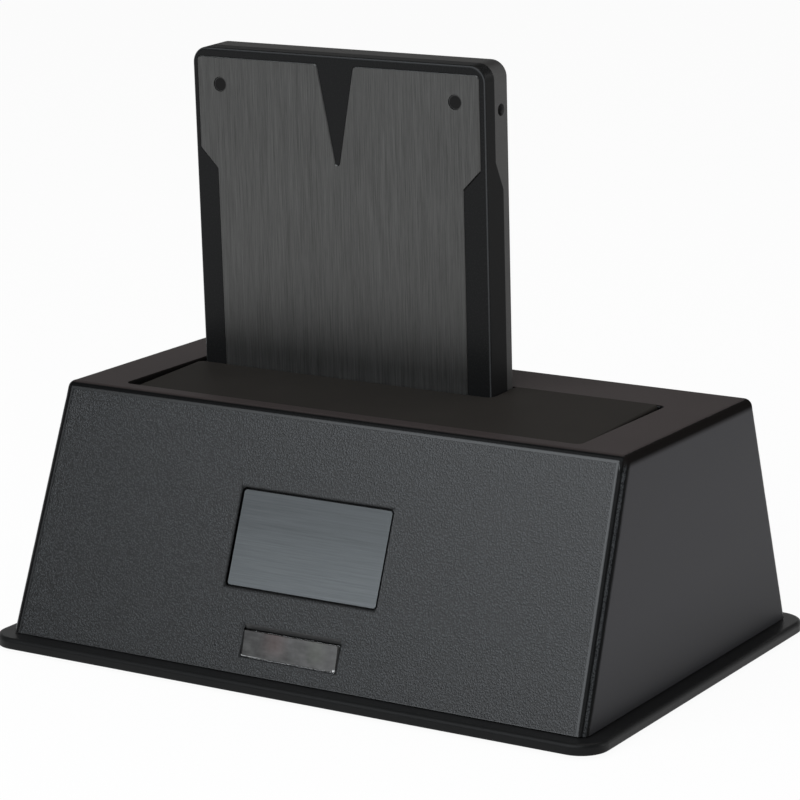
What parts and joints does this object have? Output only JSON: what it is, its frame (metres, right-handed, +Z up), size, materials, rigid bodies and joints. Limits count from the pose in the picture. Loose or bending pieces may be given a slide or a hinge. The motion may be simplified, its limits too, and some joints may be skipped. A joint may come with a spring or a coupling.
{
  "type": "hard drive docking station",
  "caption": "Tabletop dock with sloping sides, a hinged lid and a 2.5-inch drive standing upright in the slot.",
  "frame": {"origin": "on the table under the middle of the base", "axes": "+X along the length, to the right seen from the front; +Y to the back; +Z up"},
  "size_m": [0.1414, 0.0968, 0.1204],
  "materials": {
    "shell_plastic": "black moulded plastic, grained front, fine matte sides",
    "base_plastic": "black satin plastic",
    "lid_plastic": "black smooth matte plastic",
    "frame_plastic": "black smooth matte plastic",
    "panel_plastic": "black fine matte plastic",
    "rubber": "matte black rubber",
    "screw_steel": "black zinc plated",
    "pin_steel": "polished steel rod",
    "spring_steel": "spring wire",
    "plate_aluminium": "blue-grey brushed along its length",
    "smoked_window": "smoked translucent plastic",
    "clear_plastic": "clear plastic",
    "light_plastic": "tinted clear plastic",
    "board_green": "green solder mask",
    "drive_board_blue": "blue solder mask",
    "chip_plastic": "matte black mould compound",
    "tinned_lead": "tinned",
    "contact_gold": "gold flashed",
    "socket_plastic": "black nylon",
    "can_aluminium": "drawn aluminium can",
    "coil_ferrite": "ferrite block",
    "can_steel": "drawn steel can",
    "socket_steel": "tinned sheet steel",
    "usb_plastic": "blue nylon",
    "switch_plastic": "black nylon",
    "button_plastic": "dark satin plastic",
    "plunger_plastic": "natural nylon",
    "drive_black": "black satin coat",
    "drive_metal": "dark grey fine blasted and anodised",
    "drive_plate": "dark grey brushed along its height",
    "stud_metal": "black, with a thin bright edge"
  },
  "bodies": {
    "dock": {"base_plate": "base_plastic", "rubber_feet": "rubber", "base_screws": "screw_steel", "upper_shell": "shell_plastic", "name_plate": "plate_aluminium", "light_window": "smoked_window", "light_guide": "clear_plastic", "light_holder": "socket_plastic", "status_lights": "light_plastic", "slot_frame": "frame_plastic", "frame_screws": "screw_steel", "lid_pin": "pin_steel", "lid_springs": "spring_steel", "main_board": "board_green", "board_screws": "screw_steel", "drive_socket": "socket_plastic", "socket_contacts": "contact_gold", "bridge_chip": "chip_plastic", "chip_leads": "tinned_lead", "board_memory": "chip_plastic", "capacitors": "can_aluminium", "power_coils": "coil_ferrite", "crystal": "can_steel", "rear_panel": "panel_plastic", "usb_shell": "socket_steel", "usb_insert": "usb_plastic", "esata_shell": "socket_steel", "esata_insert": "socket_plastic", "power_jack": "socket_plastic", "jack_pin": "contact_gold", "power_switch": "switch_plastic"},
    "lid": {"lid": "lid_plastic", "flap_pin": "pin_steel", "flap_spring": "spring_steel"},
    "flap": {"flap": "lid_plastic"},
    "drive": {"drive_front_shell": "drive_black", "drive_case": "drive_metal", "drive_face_plate": "drive_plate", "drive_studs": "stud_metal", "drive_board": "drive_board_blue", "drive_plug": "socket_plastic", "drive_contacts": "contact_gold", "drive_chips": "chip_plastic", "drive_screws": "screw_steel"},
    "button": {"power_button": "button_plastic", "switch_plunger": "plunger_plastic"}
  },
  "joints": [
    {"name": "lid_hinge", "type": "hinge", "parent": "dock", "child": "lid", "pos_m": [0, -0.0189, 0.04825], "axis": [-1, 0, 0], "range_deg": [0, 85], "stiffness_Nm_per_rad": 0.008, "springref_deg": -51.57, "deforming": ["lid_springs"]},
    {"name": "flap_hinge", "type": "hinge", "parent": "lid", "child": "flap", "pos_m": [0, 0.00073, 0.04907], "axis": [-1, 0, 0], "range_deg": [0, 10], "stiffness_Nm_per_rad": 0.0015, "springref_deg": -97.4, "deforming": ["flap_spring"]},
    {"name": "drive_slide", "type": "slide", "parent": "dock", "child": "drive", "axis": [0, -0.0401, 0.9992], "range_m": [0, 0.045]},
    {"name": "button_travel", "type": "slide", "parent": "dock", "child": "button", "axis": [0, -1, 0], "range_m": [0, 0.0015], "stiffness_N_per_m": 400, "springref_m": -0.0015}
  ]
}
